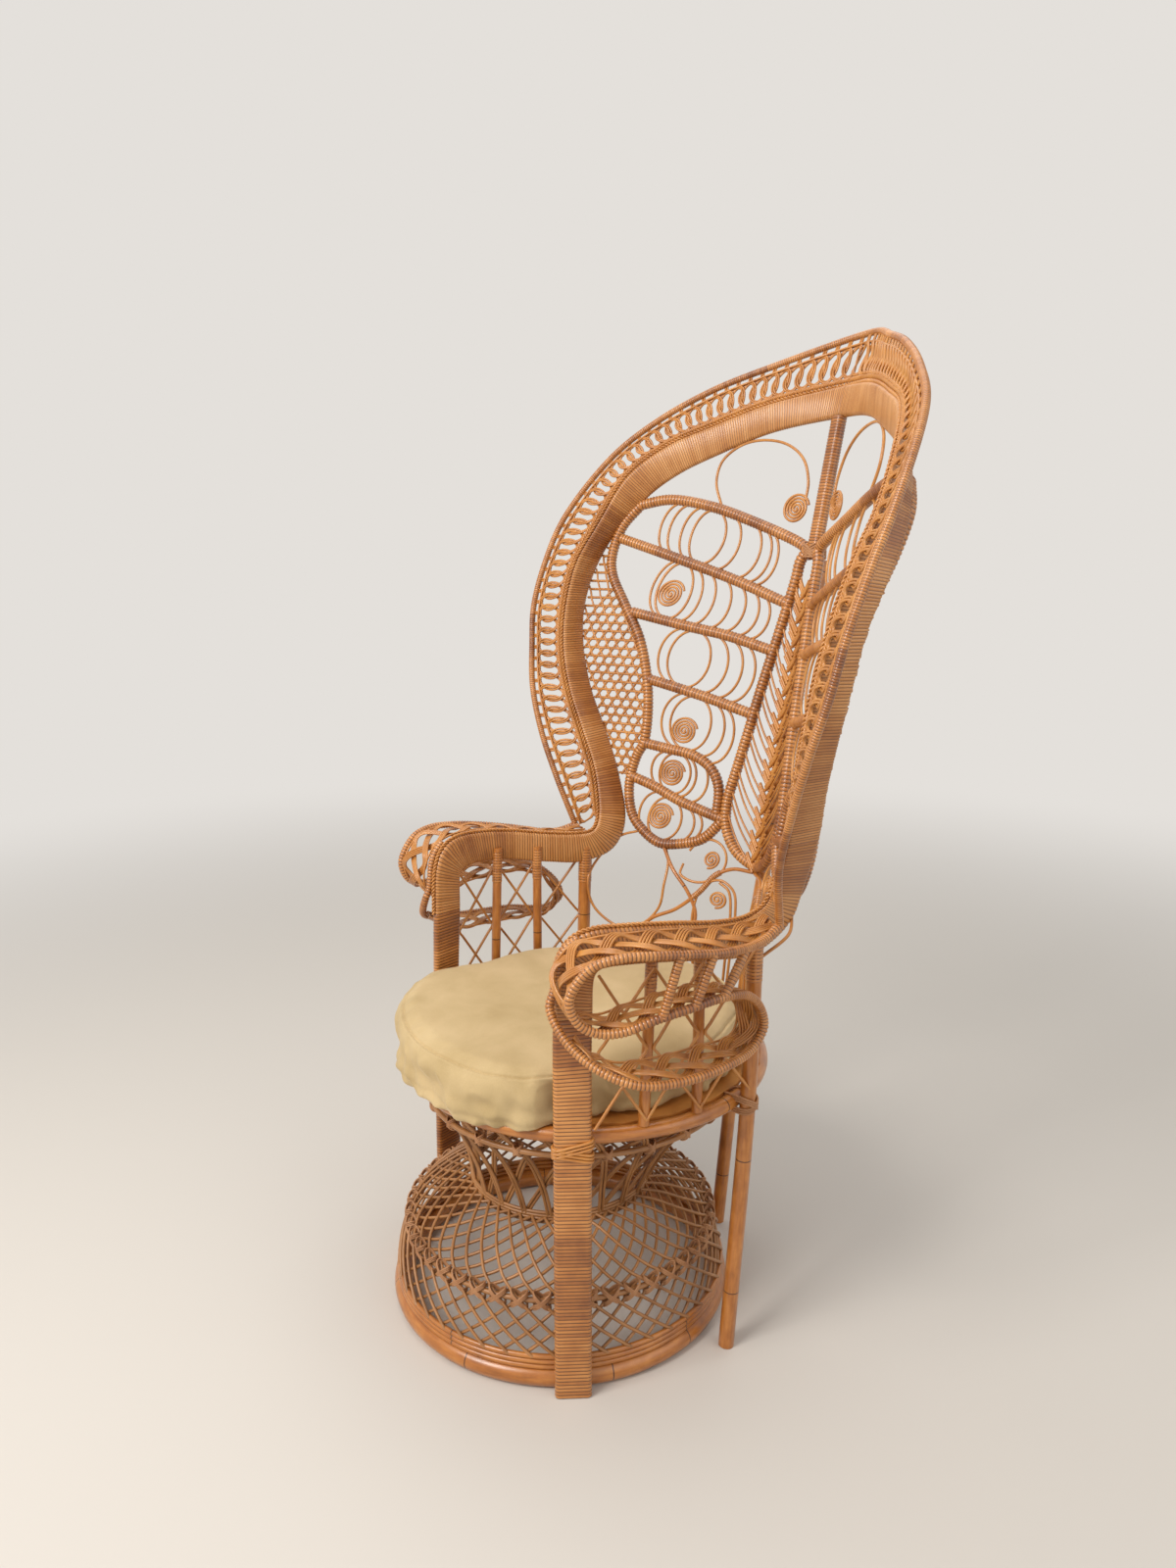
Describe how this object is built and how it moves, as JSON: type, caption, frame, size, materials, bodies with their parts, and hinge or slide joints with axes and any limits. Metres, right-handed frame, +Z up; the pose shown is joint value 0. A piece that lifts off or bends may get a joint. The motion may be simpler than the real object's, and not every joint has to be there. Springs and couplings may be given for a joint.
{
  "type": "peacock chair",
  "caption": "Rattan peacock chair: tall flared open back with scrolled cane infill, rolled arms, hourglass lattice base and a round loose cushion.",
  "frame": {"origin": "centre of the footprint box, on the floor", "axes": "+Z up, -Y the way the sitter faces, +X the sitter's left"},
  "size_m": [0.9254, 0.8236, 1.505],
  "materials": {
    "wrap": "cane-wrapped rattan, satin varnish",
    "pole": "plain rattan pole, satin varnish",
    "weave": "woven cane, satin varnish",
    "base": "crossing canes, darkened varnish",
    "velvet": "short-pile velvet"
  },
  "bodies": {
    "root": {"base_ring": "base", "base_hoops": "base", "skirt_lattice": "base", "braid_ring": "base", "dome_lattice": "base", "waist_ring": "base", "cone_lattice": "base", "cone_hoop": "base", "seat_ring": "pole", "seat_deck": "weave", "cushion": "velvet", "front_leg_left": "wrap", "front_leg_right": "wrap", "arm_band_left": "wrap", "arm_band_right": "wrap", "back_band_left": "wrap", "back_band_right": "wrap", "rim_pole_left": "wrap", "rim_pole_right": "wrap", "rim_weave_left": "weave", "rim_weave_right": "weave", "arm_pole_left": "wrap", "arm_pole_right": "wrap", "arm_weave_left": "weave", "arm_weave_right": "weave", "rear_leg_left": "pole", "rear_leg_right": "pole", "arm_post_front_left": "wrap", "arm_post_front_right": "wrap", "arm_post_rear_left": "wrap", "arm_post_rear_right": "wrap", "arm_lattice_left": "weave", "arm_lattice_right": "weave", "arm_strut_1_left": "wrap", "arm_strut_2_left": "wrap", "arm_strut_3_left": "wrap", "arm_strut_1_right": "wrap", "arm_strut_2_right": "wrap", "arm_strut_3_right": "wrap", "top_rib": "wrap", "leaf_pole": "wrap", "frame_pole_left": "wrap", "frame_pole_right": "wrap", "rib_2_left": "wrap", "rib_2_right": "wrap", "rib_3_left": "wrap", "rib_3_right": "wrap", "rib_4_left": "wrap", "rib_4_right": "wrap", "forked_rib_left": "wrap", "forked_rib_right": "wrap", "centre_post": "wrap", "spine_pole": "pole", "spine_braid": "weave", "cane_panel_left": "weave", "cane_panel_right": "weave", "crown_scroll_left": "wrap", "crown_scroll_right": "wrap", "low_scrolls_left": "wrap", "low_scrolls_right": "wrap"}
  },
  "joints": []
}
